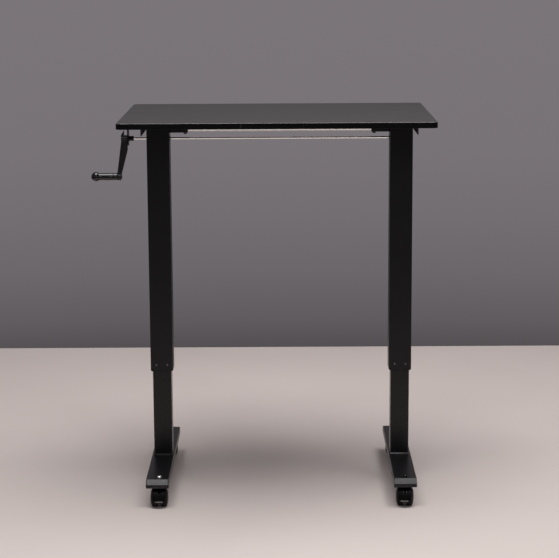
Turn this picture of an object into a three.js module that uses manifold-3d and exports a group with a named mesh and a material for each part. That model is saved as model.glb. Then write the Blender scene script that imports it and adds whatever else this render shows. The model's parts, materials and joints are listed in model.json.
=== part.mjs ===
// A crank-driven, height-adjustable standing desk on four twin-wheel casters.
//
// Millimetres, +Z up, floor at Z = 0. The user sits or stands on the -Y side. The group's origin is
// the middle of the desk's footprint box on the floor. Inside the group the pieces are laid out
// round the middle plane between the two columns, and one shift brings them to that origin.
//
// The tabletop, its steel frame, the outer tubes and the gearboxes are one rigid unit. In each
// column a lead screw, turned by mitre gears from one hexagonal cross shaft, lifts that unit up the
// inner tube, which stands on a foot beam with a caster under each end.
import * as THREE from "three";
import { mergeVertices } from "three/addons/utils/BufferGeometryUtils.js";
import Module from "manifold-3d";

// ---- Driving dimensions ----

const GAP = 0.3; // kept between pieces that touch
const LAP = 1; // how far a cutter runs past a face, or a joined shape runs into its neighbour
const THROUGH = 40; // half the length of a cutter that goes right through a column or a hub
const SEGMENTS = 18; // facets round a circle, unless a piece asks for its own
const HOLE_SEGMENTS = 16;
const SMALL_SEGMENTS = 12;
const HOOD_SEGMENTS = 24; // round the space for the wheels, so that its facets clear them

const TOP = { width: 842, depth: 600, thickness: 16, height: 1051, corner: 15, arris: 1, offset: -7 };
const COLUMN_X = 336.5; // half the distance between the column axes
const OUTER = { size: 63, wall: 1.6, corner: 3, bottom: 325.6 };
const INNER = { size: 52, wall: 1.6, corner: 2.5, top: 711 };
const ARM = { width: 63, length: 460, height: 24, wall: 2, innerFlange: 80 };
const CHANNEL = { depth: 40, height: 34, wall: 2, drop: 2.7, innerEnd: 254 };
const RAIL = { halfLength: 290, depth: 35.2, height: 30, wall: 1.6 };
const CLAMP = { x: 262, hole: 3, shank: 2.6, shankTop: 8, head: 4.5, headHeight: 4.5 };
const SHAFT = { drop: 69.5, acrossFlats: 6, left: -434, right: 362, bore: 3.9, columnHole: 6 };
const GEARBOX = { size: 58.8, window: 39, windowTop: 17.5, windowBottom: 22.5, floor: 10.6, bore: 4 };
const BEVEL = { pitch: 13, face: 6.5, hub: 5.5, backlash: 0.5, hubRatio: 0.6, back: 1.5 };
const SCREW = { radius: 6, journal: 3.6, length: 485, clearance: 0.5 };
const NUT = { size: 48.2, height: 30 };
const GLIDE = { inside: 52.8, height: 44, flange: 58.6, flangeHeight: 2, corner: 1.2, pilot: 2.2 };
const UPPER_GLIDE = { outside: 59.2, height: 40, below: 4 };
const GLIDE_SCREW = { spread: 15.5, above: 17, head: 3.2, headHeight: 1.4, shank: 1.7, length: 3.4 };
const HANGER = { x: -422.3, thickness: 3.5, width: 30, drop: 89, corner: 8, squareTop: 12, bore: 4.4 };
const HANGER_FLANGE = { length: 30, thickness: 3, holes: 8, holesAt: 20, hole: 2.2 };
const CRANK = { gripDrop: 176, width: 16, clear: 0.4, hub: 9.2, hubLeft: -440.2, axleBore: 3.8 };
const BOSS = { radius: 10.2, left: -453, right: -442 };
const GRIP = { end: -526, start: -453.4, radius: 10.2, waist: 0.62, ball: 13.5, bore: 3.9, cover: 11.5 };
const GRIP_GROOVE = { x: -464, depth: 1.2, halfWidth: 1, chamfer: 0.8 };
const GRIP_AXLE = { pin: 3.4, inset: 13, head: 6, headEnd: 2.4 };
const COUPLER = { radius: 7, length: 13.4 };
const FOOT = { width: 62, outset: 1.2, front: -278, rear: 290, height: 22, bottom: 56, wall: 2 };
const FOOT_SLOPE = 12.5; // how far the slope at each end of a foot runs in and down
const FOOT_CAP_DEPTH = 21;
const BASE_PLATE = { width: 52, depth: 60, thickness: 3 };
const STEM = { front: -248, rear: 254, radius: 4, clearance: 0.5, bottom: 35, washer: 8 };
const DOMED_NUT = { radius: 6.5, side: 0.8, dome: 5 };
const CASTER = { trail: 8, wheel: 25, halfWidth: 24.5, axle: 3.2, axleClearance: 0.5, gap: 4.9 };
const WHEEL_SEGMENTS = 20; // divisible by four, so that a wheel stands on the floor
const HOOD = { inside: 26, outside: 27.6, halfWidth: 17.5, from: -10, to: 165 };
const HOOD_WEB = { halfWidth: 2.7, radius: 18, from: 64, to: 165 };
const HOOD_NECK = { radius: 6.5, bottom: 36, top: 54.6 };
const HOOD_SLOT = { from: -30, to: 60 };
const HOOD_RECESS = { halfWidth: 14.8, from: 52, to: 98 };
const LEVER = { inside: 28, outside: 29.8, halfWidth: 11, from: -16, to: 36 };
const LEVER_LIP = { outside: 31.2, halfWidth: 10.5, from: -13, to: -7.5 };
const LEVER_ARM = { inside: 3.1, outside: 4.5, eye: 7, root: 5, from: -12, to: 20 };

// Each caster has come to rest turned its own way: degrees from trailing towards the user. The
// front left stem stands off its foot's middle line, inset towards the middle of the desk.
const CASTERS = [
  { name: "front_left", side: -1, end: -1, turn: 0, inset: 4.2, domed: "chrome" },
  { name: "front_right", side: 1, end: -1, turn: -5, inset: 0, domed: "black" },
  { name: "rear_left", side: -1, end: 1, turn: 7, inset: 0, domed: "black" },
  { name: "rear_right", side: 1, end: 1, turn: -4, inset: 0, domed: "black" },
];

// ---- Heights and planes that follow from them ----

const underTop = TOP.height - TOP.thickness - GAP;
const armBottom = underTop - ARM.height;
const columnTop = armBottom - GAP;
const channelTop = TOP.height - TOP.thickness - CHANNEL.drop;
const channelBottom = channelTop - CHANNEL.height;
const shaftZ = TOP.height - SHAFT.drop;
const gripZ = TOP.height - CRANK.gripDrop;
const gearboxBottom = shaftZ - GEARBOX.windowBottom - GEARBOX.floor;
const footTop = FOOT.bottom + FOOT.height;
const innerBottom = footTop + 2 * GAP + BASE_PLATE.thickness;
const topRightX = TOP.offset + TOP.width / 2;
const ORIGIN_SHIFT = -(GRIP.end + topRightX) / 2;
const WHEEL_AXLE = [0, -CASTER.trail, CASTER.wheel]; // from the swivel axis, at the floor

// ---- Solid modelling helpers ----

const wasm = await Module();
wasm.setup();

// A closed three.js geometry as a manifold-3d solid.
function solidOf(geometry) {
  const bare = geometry.index ? geometry.toNonIndexed() : geometry.clone();
  bare.deleteAttribute("normal");
  bare.deleteAttribute("uv");
  const merged = mergeVertices(bare, 1e-4);
  const vertProperties = new Float32Array(merged.attributes.position.array);
  const triVerts = new Uint32Array(merged.index.array);
  return new wasm.Manifold(new wasm.Mesh({ numProp: 3, vertProperties, triVerts }));
}

function geometryOf(solid) {
  const { vertProperties, triVerts } = solid.getMesh();
  const geometry = new THREE.BufferGeometry();
  geometry.setAttribute("position", new THREE.BufferAttribute(vertProperties, 3));
  geometry.setIndex(new THREE.BufferAttribute(triVerts, 1));
  geometry.computeVertexNormals();
  return geometry;
}

const join = (first, ...others) => others.reduce((whole, piece) => whole.add(piece), first);
const cut = (first, ...others) => others.reduce((whole, piece) => whole.subtract(piece), first);

// A box from its lowest corner to its highest.
function box(low, high) {
  const size = high.map((value, i) => value - low[i]);
  const middle = high.map((value, i) => (value + low[i]) / 2);
  return solidOf(new THREE.BoxGeometry(...size).translate(...middle));
}

// A cylinder along an axis ("x", "y" or "z") from one coordinate to another, round a centre point.
function rod(axis, radius, from, to, centre, segments = SEGMENTS) {
  const shape = new THREE.CylinderGeometry(radius, radius, to - from, segments);
  shape.translate(0, (from + to) / 2, 0);
  if (axis === "x") shape.rotateZ(-Math.PI / 2);
  if (axis === "z") shape.rotateX(Math.PI / 2);
  return solidOf(shape.translate(...centre));
}

// A flat outline drawn in two of the axes and pushed along the third.
function prism(axis, shape, from, to, curveSegments = 2) {
  const depth = to - from;
  const geometry = new THREE.ExtrudeGeometry(shape, { depth, bevelEnabled: false, curveSegments });
  const turn = new THREE.Matrix4();
  if (axis === "x") turn.set(0, 0, 1, from, 1, 0, 0, 0, 0, 1, 0, 0, 0, 0, 0, 1);
  if (axis === "y") turn.set(1, 0, 0, 0, 0, 0, -1, to, 0, 1, 0, 0, 0, 0, 0, 1);
  if (axis === "z") turn.set(1, 0, 0, 0, 0, 1, 0, 0, 0, 0, 1, from, 0, 0, 0, 1);
  return solidOf(geometry.applyMatrix4(turn));
}

function polygon(points) {
  return new THREE.Shape(points.map(([a, b]) => new THREE.Vector2(a, b)));
}

function roundedRectangle(width, depth, radius) {
  const x = width / 2 - radius;
  const y = depth / 2 - radius;
  const shape = new THREE.Shape();
  shape.absarc(x, y, radius, 0, Math.PI / 2);
  shape.absarc(-x, y, radius, Math.PI / 2, Math.PI);
  shape.absarc(-x, -y, radius, Math.PI, 1.5 * Math.PI);
  shape.absarc(x, -y, radius, 1.5 * Math.PI, 2 * Math.PI);
  shape.closePath();
  return shape;
}

// A square ring standing along Z round a column axis, with its own corner inside and outside.
function squareRing(x, size, corner, hollow, hollowCorner, from, to) {
  const outline = roundedRectangle(size, size, corner);
  outline.holes.push(roundedRectangle(hollow, hollow, hollowCorner));
  return prism("z", outline, from, to).translate([x, 0, 0]);
}

function squareTube(x, { size, wall, corner }, from, to) {
  return squareRing(x, size, corner, size - 2 * wall, corner - wall, from, to);
}

// A turned shape: [radius, position] pairs that start and end on the axis, spun round Z.
function turned(profile, segments = SEGMENTS) {
  const points = profile.map(([radius, position]) => new THREE.Vector2(radius, position));
  return solidOf(new THREE.LatheGeometry(points, segments).rotateX(Math.PI / 2));
}

// A ring sector in the Y-Z plane round the wheel axle; angles rise from the trailing side.
function sector(inside, outside, fromDegrees, toDegrees, halfWidth) {
  const from = Math.PI - THREE.MathUtils.degToRad(fromDegrees);
  const to = Math.PI - THREE.MathUtils.degToRad(toDegrees);
  const shape = new THREE.Shape();
  shape.absarc(0, 0, outside, from, to, true);
  shape.absarc(0, 0, inside, to, from, false);
  shape.closePath();
  const curveSegments = Math.max(1, Math.round((toDegrees - fromDegrees) / 22));
  return prism("x", shape, -halfWidth, halfWidth, curveSegments).translate(WHEEL_AXLE);
}

// ---- Materials ----

function finish(color, roughness, metalness) {
  return new THREE.MeshStandardMaterial({ color, roughness, metalness });
}

const finishes = {
  laminate: () => finish(0x353337, 0.55, 0),
  powderCoat: () => finish(0x101012, 0.5, 0.2),
  zincRail: () => finish(0xd6d6d4, 0.35, 0.9),
  polishedSteel: () => finish(0xc8c8c4, 0.25, 1),
  darkSteel: () => finish(0x55565a, 0.4, 1),
  blackScrew: () => finish(0x18181a, 0.4, 0.6),
  blackPlastic: () => finish(0x141416, 0.45, 0),
  glossPlastic: () => finish(0x0c0c0e, 0.15, 0),
  naturalPlastic: () => finish(0xd8d6cf, 0.5, 0),
  wheelPlastic: () => finish(0x1b1b1d, 0.6, 0),
  paleLever: () => finish(0x2a2a2c, 0.5, 0),
  chrome: () => finish(0xe6e6e6, 0.1, 1),
};

const desk = new THREE.Group();
desk.position.x = ORIGIN_SHIFT;

function place(name, solid, material, parent = desk) {
  const mesh = new THREE.Mesh(geometryOf(solid), finishes[material]());
  mesh.name = name;
  parent.add(mesh);
}

// ---- Top and its frame ----

function tabletop() {
  const inset = 2 * TOP.arris;
  const outline = roundedRectangle(TOP.width - inset, TOP.depth - inset, TOP.corner - TOP.arris);
  const board = new THREE.ExtrudeGeometry(outline, {
    depth: TOP.thickness - inset,
    bevelEnabled: true,
    bevelThickness: TOP.arris,
    bevelSize: TOP.arris,
    bevelSegments: 1,
    curveSegments: 5,
  });
  return solidOf(board.translate(TOP.offset, 0, TOP.height - TOP.thickness + TOP.arris));
}

// A folded steel arm under the top, open downwards and at its ends, that rests on the column's rim.
// Its inner flange is only as long as the joint with the column needs.
function sideArm(side) {
  const x = side * COLUMN_X;
  const [w, l] = [ARM.width / 2, ARM.length / 2];
  const body = box([x - w, -l, armBottom], [x + w, l, underTop]);
  const hollow = box(
    [x - w + ARM.wall, -l - LAP, armBottom - LAP],
    [x + w - ARM.wall, l + LAP, underTop - ARM.wall],
  );
  const inner = [x - side * (w + LAP), x - side * (w - ARM.wall)].sort((a, b) => a - b);
  const trims = [-1, 1].map((end) => {
    const reach = [(end * ARM.innerFlange) / 2, end * (l + LAP)].sort((a, b) => a - b);
    return box([inner[0], reach[0], armBottom - LAP], [inner[1], reach[1], underTop - ARM.wall]);
  });
  return cut(body, hollow, ...trims);
}

// The cutter for a clamp screw's hole through a sheet whose lower face is at a height.
function clampHole(x, height, wall) {
  return rod("z", CLAMP.hole, height - LAP, height + wall + LAP, [x, 0, 0], HOLE_SEGMENTS);
}

// A short folded channel on each column's inner face, open upwards, that holds one end of the rail.
function crossbeamChannel(side) {
  const columnEnd = COLUMN_X - OUTER.size / 2 - GAP;
  const half = CHANNEL.depth / 2;
  const shell = box([CHANNEL.innerEnd, -half, channelBottom], [columnEnd, half, channelTop]);
  const trough = box(
    [CHANNEL.innerEnd - LAP, -half + CHANNEL.wall, channelBottom + CHANNEL.wall],
    [columnEnd - CHANNEL.wall, half - CHANNEL.wall, channelTop + LAP],
  );
  const screwHole = clampHole(CLAMP.x, channelBottom, CHANNEL.wall);
  const right = cut(shell, trough, screwHole);
  return side > 0 ? right : right.mirror([1, 0, 0]);
}

function crossbeamRail() {
  const low = channelBottom + CHANNEL.wall + GAP;
  const high = low + RAIL.height;
  const half = RAIL.depth / 2;
  const tube = box([-RAIL.halfLength, -half, low], [RAIL.halfLength, half, high]);
  const hollow = box(
    [-RAIL.halfLength - LAP, -half + RAIL.wall, low + RAIL.wall],
    [RAIL.halfLength + LAP, half - RAIL.wall, high - RAIL.wall],
  );
  const holes = [-1, 1].map((side) => clampHole(side * CLAMP.x, low, RAIL.wall));
  return cut(tube, hollow, ...holes);
}

function clampScrew(side) {
  const centre = [side * CLAMP.x, 0, 0];
  const seat = channelBottom - GAP;
  const shank = rod("z", CLAMP.shank, seat - LAP, channelBottom + CLAMP.shankTop, centre, HOLE_SEGMENTS);
  const head = rod("z", CLAMP.head, seat - CLAMP.headHeight, seat, centre, HOLE_SEGMENTS);
  return join(shank, head);
}

function glideScrewCentre(side, which) {
  return [side * COLUMN_X + which * GLIDE_SCREW.spread, 0, OUTER.bottom + GLIDE_SCREW.above];
}

// The cutters for both of a column's glide screws, into a face on its front.
function glideScrewHoles(side, face, depth) {
  const radius = GLIDE_SCREW.shank + GAP;
  return [-1, 1].map((which) =>
    rod("y", radius, face - LAP, face + depth, glideScrewCentre(side, which), SMALL_SEGMENTS),
  );
}

function outerTube(side) {
  const x = side * COLUMN_X;
  const face = -OUTER.size / 2;
  const tube = squareTube(x, OUTER, OUTER.bottom, columnTop);
  const shaftEnd = side < 0 ? x + THROUGH : x;
  const shaftHole = rod("x", SHAFT.columnHole, x - THROUGH, shaftEnd, [0, 0, shaftZ], HOLE_SEGMENTS);
  return cut(tube, shaftHole, ...glideScrewHoles(side, face, OUTER.wall + LAP));
}

// ---- Drive ----

// A cast block inside the column's top; its window, open to front and back, holds the mitre gears.
function gearboxFrame(side) {
  const x = side * COLUMN_X;
  const half = GEARBOX.size / 2;
  const window = GEARBOX.window / 2;
  const block = box([x - half, -half, gearboxBottom], [x + half, half, columnTop - GAP]);
  const opening = box(
    [x - window, -half - LAP, shaftZ - GEARBOX.windowBottom],
    [x + window, half + LAP, shaftZ + GEARBOX.windowTop],
  );
  const shaftBore = rod("x", GEARBOX.bore, x - THROUGH, x + THROUGH, [0, 0, shaftZ], HOLE_SEGMENTS);
  const boreTop = shaftZ - GEARBOX.windowBottom + LAP;
  const screwBore = rod("z", SCREW.radius + SCREW.clearance, gearboxBottom - LAP, boreTop, [x, 0, 0]);
  return cut(block, opening, shaftBore, screwBore);
}

function driveShaft() {
  const corner = SHAFT.acrossFlats / Math.sqrt(3);
  const hexagon = polygon([0, 1, 2, 3, 4, 5].map((i) => {
    const angle = (i * Math.PI) / 3;
    return [corner * Math.cos(angle), shaftZ + corner * Math.sin(angle)];
  }));
  return prism("x", hexagon, SHAFT.left, SHAFT.right);
}

// A mitre gear blank: its pitch cone's tip is at the origin and it opens downwards along -Z.
function mitreGear(bore) {
  const wide = BEVEL.pitch - BEVEL.backlash;
  const narrow = wide - BEVEL.face;
  const blank = turned([
    [0, -BEVEL.pitch - BEVEL.hub],
    [wide * BEVEL.hubRatio, -BEVEL.pitch - BEVEL.hub],
    [wide * BEVEL.hubRatio, -BEVEL.pitch - BEVEL.back],
    [wide, -BEVEL.pitch],
    [narrow, -BEVEL.pitch + BEVEL.face],
    [0, -BEVEL.pitch + BEVEL.face],
  ]);
  return cut(blank, rod("z", bore, -THROUGH, THROUGH, [0, 0, 0], HOLE_SEGMENTS));
}

function driveBevel(side) {
  return mitreGear(SHAFT.bore).rotate([0, -90, 0]).translate([side * COLUMN_X, 0, shaftZ]);
}

function drivenBevel(side) {
  return mitreGear(SCREW.journal + GAP).translate([side * COLUMN_X, 0, shaftZ]);
}

function leadScrew(side) {
  const x = side * COLUMN_X;
  const shoulder = shaftZ - BEVEL.pitch - BEVEL.hub - GAP;
  const journalTop = shaftZ - BEVEL.pitch + BEVEL.face - BEVEL.backlash;
  const journal = rod("z", SCREW.journal, shoulder - LAP, journalTop, [x, 0, 0], HOLE_SEGMENTS);
  const screw = rod("z", SCREW.radius, shoulder - SCREW.length, shoulder, [x, 0, 0]);
  return join(screw, journal);
}

// ---- Crank ----

// An angle bracket under the top's left edge that carries the outer end of the shaft.
function crankHanger() {
  const half = HANGER.width / 2;
  const plateRight = HANGER.x + HANGER.thickness;
  const low = TOP.height - HANGER.drop;
  const outline = roundedRectangle(HANGER.width, underTop - low, HANGER.corner);
  const plate = prism("x", outline, HANGER.x, plateRight).translate([0, 0, (underTop + low) / 2]);
  const squareUp = box([HANGER.x, -half, underTop - HANGER.squareTop], [plateRight, half, underTop]);
  const under = underTop - HANGER_FLANGE.thickness;
  const flange = box([HANGER.x, -half, under], [HANGER.x + HANGER_FLANGE.length, half, underTop]);
  const bore = rod("x", HANGER.bore, HANGER.x - LAP, plateRight + LAP, [0, 0, shaftZ], HOLE_SEGMENTS);
  const holes = [-1, 1].map((s) => {
    const centre = [HANGER.x + HANGER_FLANGE.holesAt, s * HANGER_FLANGE.holes, 0];
    return rod("z", HANGER_FLANGE.hole, under - LAP, underTop + LAP, centre, SMALL_SEGMENTS);
  });
  return cut(join(plate, squareUp, flange), bore, ...holes);
}

function shaftCoupler() {
  const left = HANGER.x + HANGER.thickness + GAP;
  const right = left + COUPLER.length;
  const collar = rod("x", COUPLER.radius, left, right, [0, 0, shaftZ]);
  return cut(collar, rod("x", SHAFT.bore, left - LAP, right + LAP, [0, 0, shaftZ], HOLE_SEGMENTS));
}

// The arm leans outwards so that it clears the top's edge when it points up. A short horn stands
// beyond the shaft, with a slot between it and the hanger. The outline's points are an X and a
// distance below the tabletop's upper face.
function crankArm() {
  const half = CRANK.width / 2;
  const z = (drop) => TOP.height - drop;
  const right = HANGER.x - CRANK.clear;
  const outline = polygon([
    [right, z(60.4)],
    [-432.3, z(60.4)],
    [-432.1, z(46.5)],
    [-440.4, z(60)],
    [-439.9, z(76.5)],
    [-450.3, z(152)],
    [BOSS.left, z(167)],
    [BOSS.left, gripZ],
    [BOSS.right, gripZ],
    [BOSS.right, z(163)],
    [-437.8, z(148)],
    [right, z(99)],
  ]);
  const arm = prism("y", outline, -half, half);
  const hub = rod("x", CRANK.hub, CRANK.hubLeft, right, [0, 0, shaftZ]);
  const boss = rod("x", BOSS.radius, BOSS.left, BOSS.right, [0, 0, gripZ]);
  const shaftBore = rod("x", SHAFT.bore, SHAFT.left - 2 * LAP, right + LAP, [0, 0, shaftZ], HOLE_SEGMENTS);
  const axleBore = rod("x", CRANK.axleBore, BOSS.left - LAP, BOSS.right + LAP, [0, 0, gripZ], HOLE_SEGMENTS);
  return cut(join(arm, hub, boss), shaftBore, axleBore);
}

function gripAxle() {
  const { pin: radius, inset, head: headRadius, headEnd } = GRIP_AXLE;
  const pin = rod("x", radius, GRIP.end + inset, BOSS.right + LAP, [0, 0, gripZ], HOLE_SEGMENTS);
  const head = rod("x", headRadius, BOSS.right + GAP, BOSS.right + headEnd, [0, 0, gripZ], HOLE_SEGMENTS);
  return join(pin, head);
}

// The grip is turned round its axle: a ring at the arm, a groove, a waist and a ball end.
function crankGrip() {
  const length = GRIP.start - GRIP.end;
  const groove = GRIP.start - GRIP_GROOVE.x;
  const ballCentre = length - GRIP.ball;
  const neck = GRIP.waist * length;
  const ball = [35, 5, -25, -55].map((degrees) => {
    const angle = THREE.MathUtils.degToRad(degrees);
    return [GRIP.ball * Math.cos(angle), ballCentre - GRIP.ball * Math.sin(angle)];
  });
  const profile = [
    [0, 0],
    [GRIP.radius - GRIP_GROOVE.chamfer, 0],
    [GRIP.radius, GRIP_GROOVE.chamfer],
    [GRIP.radius, groove - GRIP_GROOVE.halfWidth],
    [GRIP.radius - GRIP_GROOVE.depth, groove],
    [GRIP.radius, groove + GRIP_GROOVE.halfWidth],
    [GRIP.radius, neck],
    ...ball,
    [0, length],
  ];
  const bore = rod("z", GRIP.bore, -LAP, length - GRIP.cover, [0, 0, 0], HOLE_SEGMENTS);
  const body = cut(turned(profile, HOLE_SEGMENTS), bore);
  return body.rotate([0, -90, 0]).translate([GRIP.start, 0, gripZ]);
}

// ---- Columns' lower half ----

// A plastic collar fixed in the outer tube's mouth, with a flange that shows as a thin line below it.
function lowerGlide(side) {
  const x = side * COLUMN_X;
  const inside = OUTER.size - 2 * OUTER.wall - 2 * GAP;
  const flangeTop = OUTER.bottom - GAP;
  const ring = (size, from, to) =>
    squareRing(x, size, GLIDE.corner, GLIDE.inside, INNER.corner, from, to);
  const sleeve = ring(inside, flangeTop - LAP, OUTER.bottom + GLIDE.height);
  const flange = ring(GLIDE.flange, flangeTop - GLIDE.flangeHeight, flangeTop);
  return cut(join(sleeve, flange), ...glideScrewHoles(side, -inside / 2, GLIDE.pilot));
}

function glideScrew(side, which) {
  const centre = glideScrewCentre(side, which);
  const face = -OUTER.size / 2 - GAP;
  const head = rod("y", GLIDE_SCREW.head, face - GLIDE_SCREW.headHeight, face, centre, HOLE_SEGMENTS);
  const shank = rod("y", GLIDE_SCREW.shank, face - LAP, face + GLIDE_SCREW.length, centre, SMALL_SEGMENTS);
  return join(head, shank);
}

function innerTube(side) {
  return squareTube(side * COLUMN_X, INNER, innerBottom, INNER.top);
}

function upperGlide(side) {
  const x = side * COLUMN_X;
  const top = INNER.top - UPPER_GLIDE.below;
  const bottom = top - UPPER_GLIDE.height;
  const hollow = INNER.size + 2 * GAP;
  return squareRing(x, UPPER_GLIDE.outside, GLIDE.corner, hollow, INNER.corner, bottom, top);
}

function leadNut(side) {
  const x = side * COLUMN_X;
  const half = NUT.size / 2;
  const bottom = INNER.top - NUT.height;
  const block = box([x - half, -half, bottom], [x + half, half, INNER.top - GAP]);
  const thread = rod("z", SCREW.radius + SCREW.clearance, bottom - LAP, INNER.top + LAP, [x, 0, 0]);
  return cut(block, thread);
}

// ---- Feet ----

function basePlate(side) {
  const x = side * COLUMN_X;
  const [w, d] = [BASE_PLATE.width / 2, BASE_PLATE.depth / 2];
  const low = footTop + GAP;
  return box([x - w, -d, low], [x + w, d, low + BASE_PLATE.thickness]);
}

const footX = (side) => side * (COLUMN_X + FOOT.outset);
const stemX = ({ side, inset }) => footX(side) - side * inset;
const stemY = ({ end }) => (end < 0 ? STEM.front : STEM.rear);
const footTube = { low: FOOT.bottom + FOOT.wall, high: footTop - FOOT.wall };

// A flat box tube whose ends are sloped above and square below, with a hole for each caster stem.
function footBeam(side) {
  const x = footX(side);
  const half = FOOT.width / 2;
  const outline = polygon([
    [FOOT.front, FOOT.bottom],
    [FOOT.rear, FOOT.bottom],
    [FOOT.rear, footTop - FOOT_SLOPE],
    [FOOT.rear - FOOT_SLOPE, footTop],
    [FOOT.front + FOOT_SLOPE, footTop],
    [FOOT.front, footTop - FOOT_SLOPE],
  ]);
  const beam = prism("x", outline, x - half, x + half);
  const hollow = box(
    [x - half + FOOT.wall, FOOT.front - LAP, footTube.low],
    [x + half - FOOT.wall, FOOT.rear + LAP, footTube.high],
  );
  const holeRadius = STEM.radius + 2 * GAP;
  const holes = CASTERS.filter((one) => one.side === side).map((one) =>
    rod("z", holeRadius, FOOT.bottom - LAP, footTop + LAP, [stemX(one), stemY(one), 0], HOLE_SEGMENTS),
  );
  return cut(beam, hollow, ...holes);
}

// A plastic plug that closes the beam's end flush with its slope.
function footEndCap(side, end) {
  const x = footX(side);
  const half = FOOT.width / 2 - FOOT.wall - GAP;
  const low = footTube.low + GAP;
  const high = footTube.high - GAP;
  const outline = polygon([
    [-FOOT_CAP_DEPTH, low],
    [0, low],
    [0, footTop - FOOT_SLOPE],
    [footTop - high - FOOT_SLOPE, high],
    [-FOOT_CAP_DEPTH, high],
  ]);
  const plug = prism("x", outline, x - half, x + half);
  if (end > 0) return plug.translate([0, FOOT.rear, 0]);
  return plug.mirror([0, 1, 0]).translate([0, FOOT.front, 0]);
}

// ---- Casters ----

// The stem is fixed in the foot: a shank, a washer under the beam and a domed nut on top of it.
function casterStem(one) {
  const rim = footTop + GAP + DOMED_NUT.side;
  const dome = [30, 60].map((degrees) => {
    const angle = THREE.MathUtils.degToRad(degrees);
    return [DOMED_NUT.radius * Math.cos(angle), rim + DOMED_NUT.dome * Math.sin(angle)];
  });
  const washerBottom = HOOD_NECK.top + GAP;
  const washerTop = FOOT.bottom - GAP;
  const profile = [
    [0, STEM.bottom],
    [STEM.radius, STEM.bottom],
    [STEM.radius, washerBottom],
    [STEM.washer, washerBottom],
    [STEM.washer, washerTop],
    [STEM.radius, washerTop],
    [STEM.radius, footTop + GAP],
    [DOMED_NUT.radius, footTop + GAP],
    [DOMED_NUT.radius, rim],
    ...dome,
    [0, rim + DOMED_NUT.dome],
  ];
  return turned(profile, SMALL_SEGMENTS).translate([stemX(one), stemY(one), 0]);
}

// The axle's bore through a piece that turns on it or holds it.
function axleBore() {
  return rod("x", CASTER.axle + CASTER.axleClearance, -10, 10, WHEEL_AXLE, SMALL_SEGMENTS);
}

// The hood: a cover over both wheels, a web between them that carries the axle, and a neck that
// turns on the stem. A slot in the cover lets the brake pedal's arms pass.
function casterHood() {
  const cover = sector(HOOD.inside, HOOD.outside, HOOD.from, HOOD.to, HOOD.halfWidth);
  const past = [HOOD.inside - 2 * LAP, HOOD.outside + LAP];
  const recess = sector(...past, HOOD_RECESS.from, HOOD_RECESS.to, HOOD_RECESS.halfWidth);
  const leverSlot = sector(...past, HOOD_SLOT.from, HOOD_SLOT.to, CASTER.gap);
  const disc = rod("x", HOOD_WEB.radius, -HOOD_WEB.halfWidth, HOOD_WEB.halfWidth, WHEEL_AXLE, HOLE_SEGMENTS);
  const spokes = [HOOD_WEB.radius - 2 * LAP, HOOD.inside + LAP / 2];
  const web = join(disc, sector(...spokes, HOOD_WEB.from, HOOD_WEB.to, HOOD_WEB.halfWidth));
  const neck = rod("z", HOOD_NECK.radius, HOOD_NECK.bottom, HOOD_NECK.top, [0, 0, 0], HOLE_SEGMENTS);
  const wheelSpace = [-1, 1].map((s) => {
    const ends = [s * HOOD_WEB.halfWidth, s * THROUGH].sort((a, b) => a - b);
    return rod("x", HOOD.inside, ...ends, WHEEL_AXLE, HOOD_SEGMENTS);
  });
  const stemBore = rod("z", STEM.radius + STEM.clearance, 30, 70, [0, 0, 0], SMALL_SEGMENTS);
  return cut(join(cut(cover, leverSlot, recess), cut(neck, ...wheelSpace), web), stemBore, axleBore());
}

// Two wheels with domed faces, pressed on one axle that turns in the hood's web.
function casterWheels() {
  const { wheel, halfWidth, axle, gap } = CASTER;
  const half = [
    [axle, 0],
    [axle, gap],
    [wheel - 1.5, gap],
    [wheel, gap + 1.5],
    [wheel, halfWidth - 8],
    [wheel - 2, halfWidth - 4.5],
    [wheel - 7, halfWidth - 1.8],
    [wheel - 14, halfWidth - 0.5],
    [0, halfWidth],
  ];
  const other = half.slice(1).reverse().map(([radius, x]) => [radius, -x]);
  return turned([...other, ...half.slice(1)], WHEEL_SEGMENTS)
    .rotate([0, 90, 0])
    .translate(WHEEL_AXLE);
}

// The brake pedal: a curved shell outside the hood, on two arms that turn on the axle.
function brakeLever() {
  const shell = sector(LEVER.inside, LEVER.outside, LEVER.from, LEVER.to, LEVER.halfWidth);
  const lip = sector(LEVER.inside, LEVER_LIP.outside, LEVER_LIP.from, LEVER_LIP.to, LEVER_LIP.halfWidth);
  const arms = [-1, 1].map((s) => {
    const halfThickness = (LEVER_ARM.outside - LEVER_ARM.inside) / 2;
    const middle = (s * (LEVER_ARM.outside + LEVER_ARM.inside)) / 2;
    const { root, from, to, eye: radius } = LEVER_ARM;
    const spoke = sector(root, LEVER.inside + LAP / 2, from, to, halfThickness);
    const eye = rod("x", radius, -halfThickness, halfThickness, WHEEL_AXLE, SMALL_SEGMENTS);
    return join(spoke, eye).translate([middle, 0, 0]);
  });
  return cut(join(shell, lip, ...arms), axleBore());
}

function caster(one) {
  const { name, turn, domed } = one;
  place(`${name}_caster_stem`, casterStem(one), domed === "chrome" ? "chrome" : "blackScrew");
  const swivel = new THREE.Group();
  swivel.position.set(stemX(one), stemY(one), 0);
  swivel.rotation.z = THREE.MathUtils.degToRad(turn);
  desk.add(swivel);
  place(`${name}_caster_hood`, casterHood(), "blackPlastic", swivel);
  place(`${name}_caster_wheels`, casterWheels(), "wheelPlastic", swivel);
  place(`${name}_brake_lever`, brakeLever(), "paleLever", swivel);
}

// ---- Assembly ----

place("tabletop", tabletop(), "laminate");
place("crossbeam_rail", crossbeamRail(), "zincRail");
place("drive_shaft", driveShaft(), "polishedSteel");
place("crank_hanger", crankHanger(), "powderCoat");
place("shaft_coupler", shaftCoupler(), "blackScrew");
place("crank_arm", crankArm(), "blackPlastic");
place("grip_axle", gripAxle(), "darkSteel");
place("crank_grip", crankGrip(), "glossPlastic");

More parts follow.
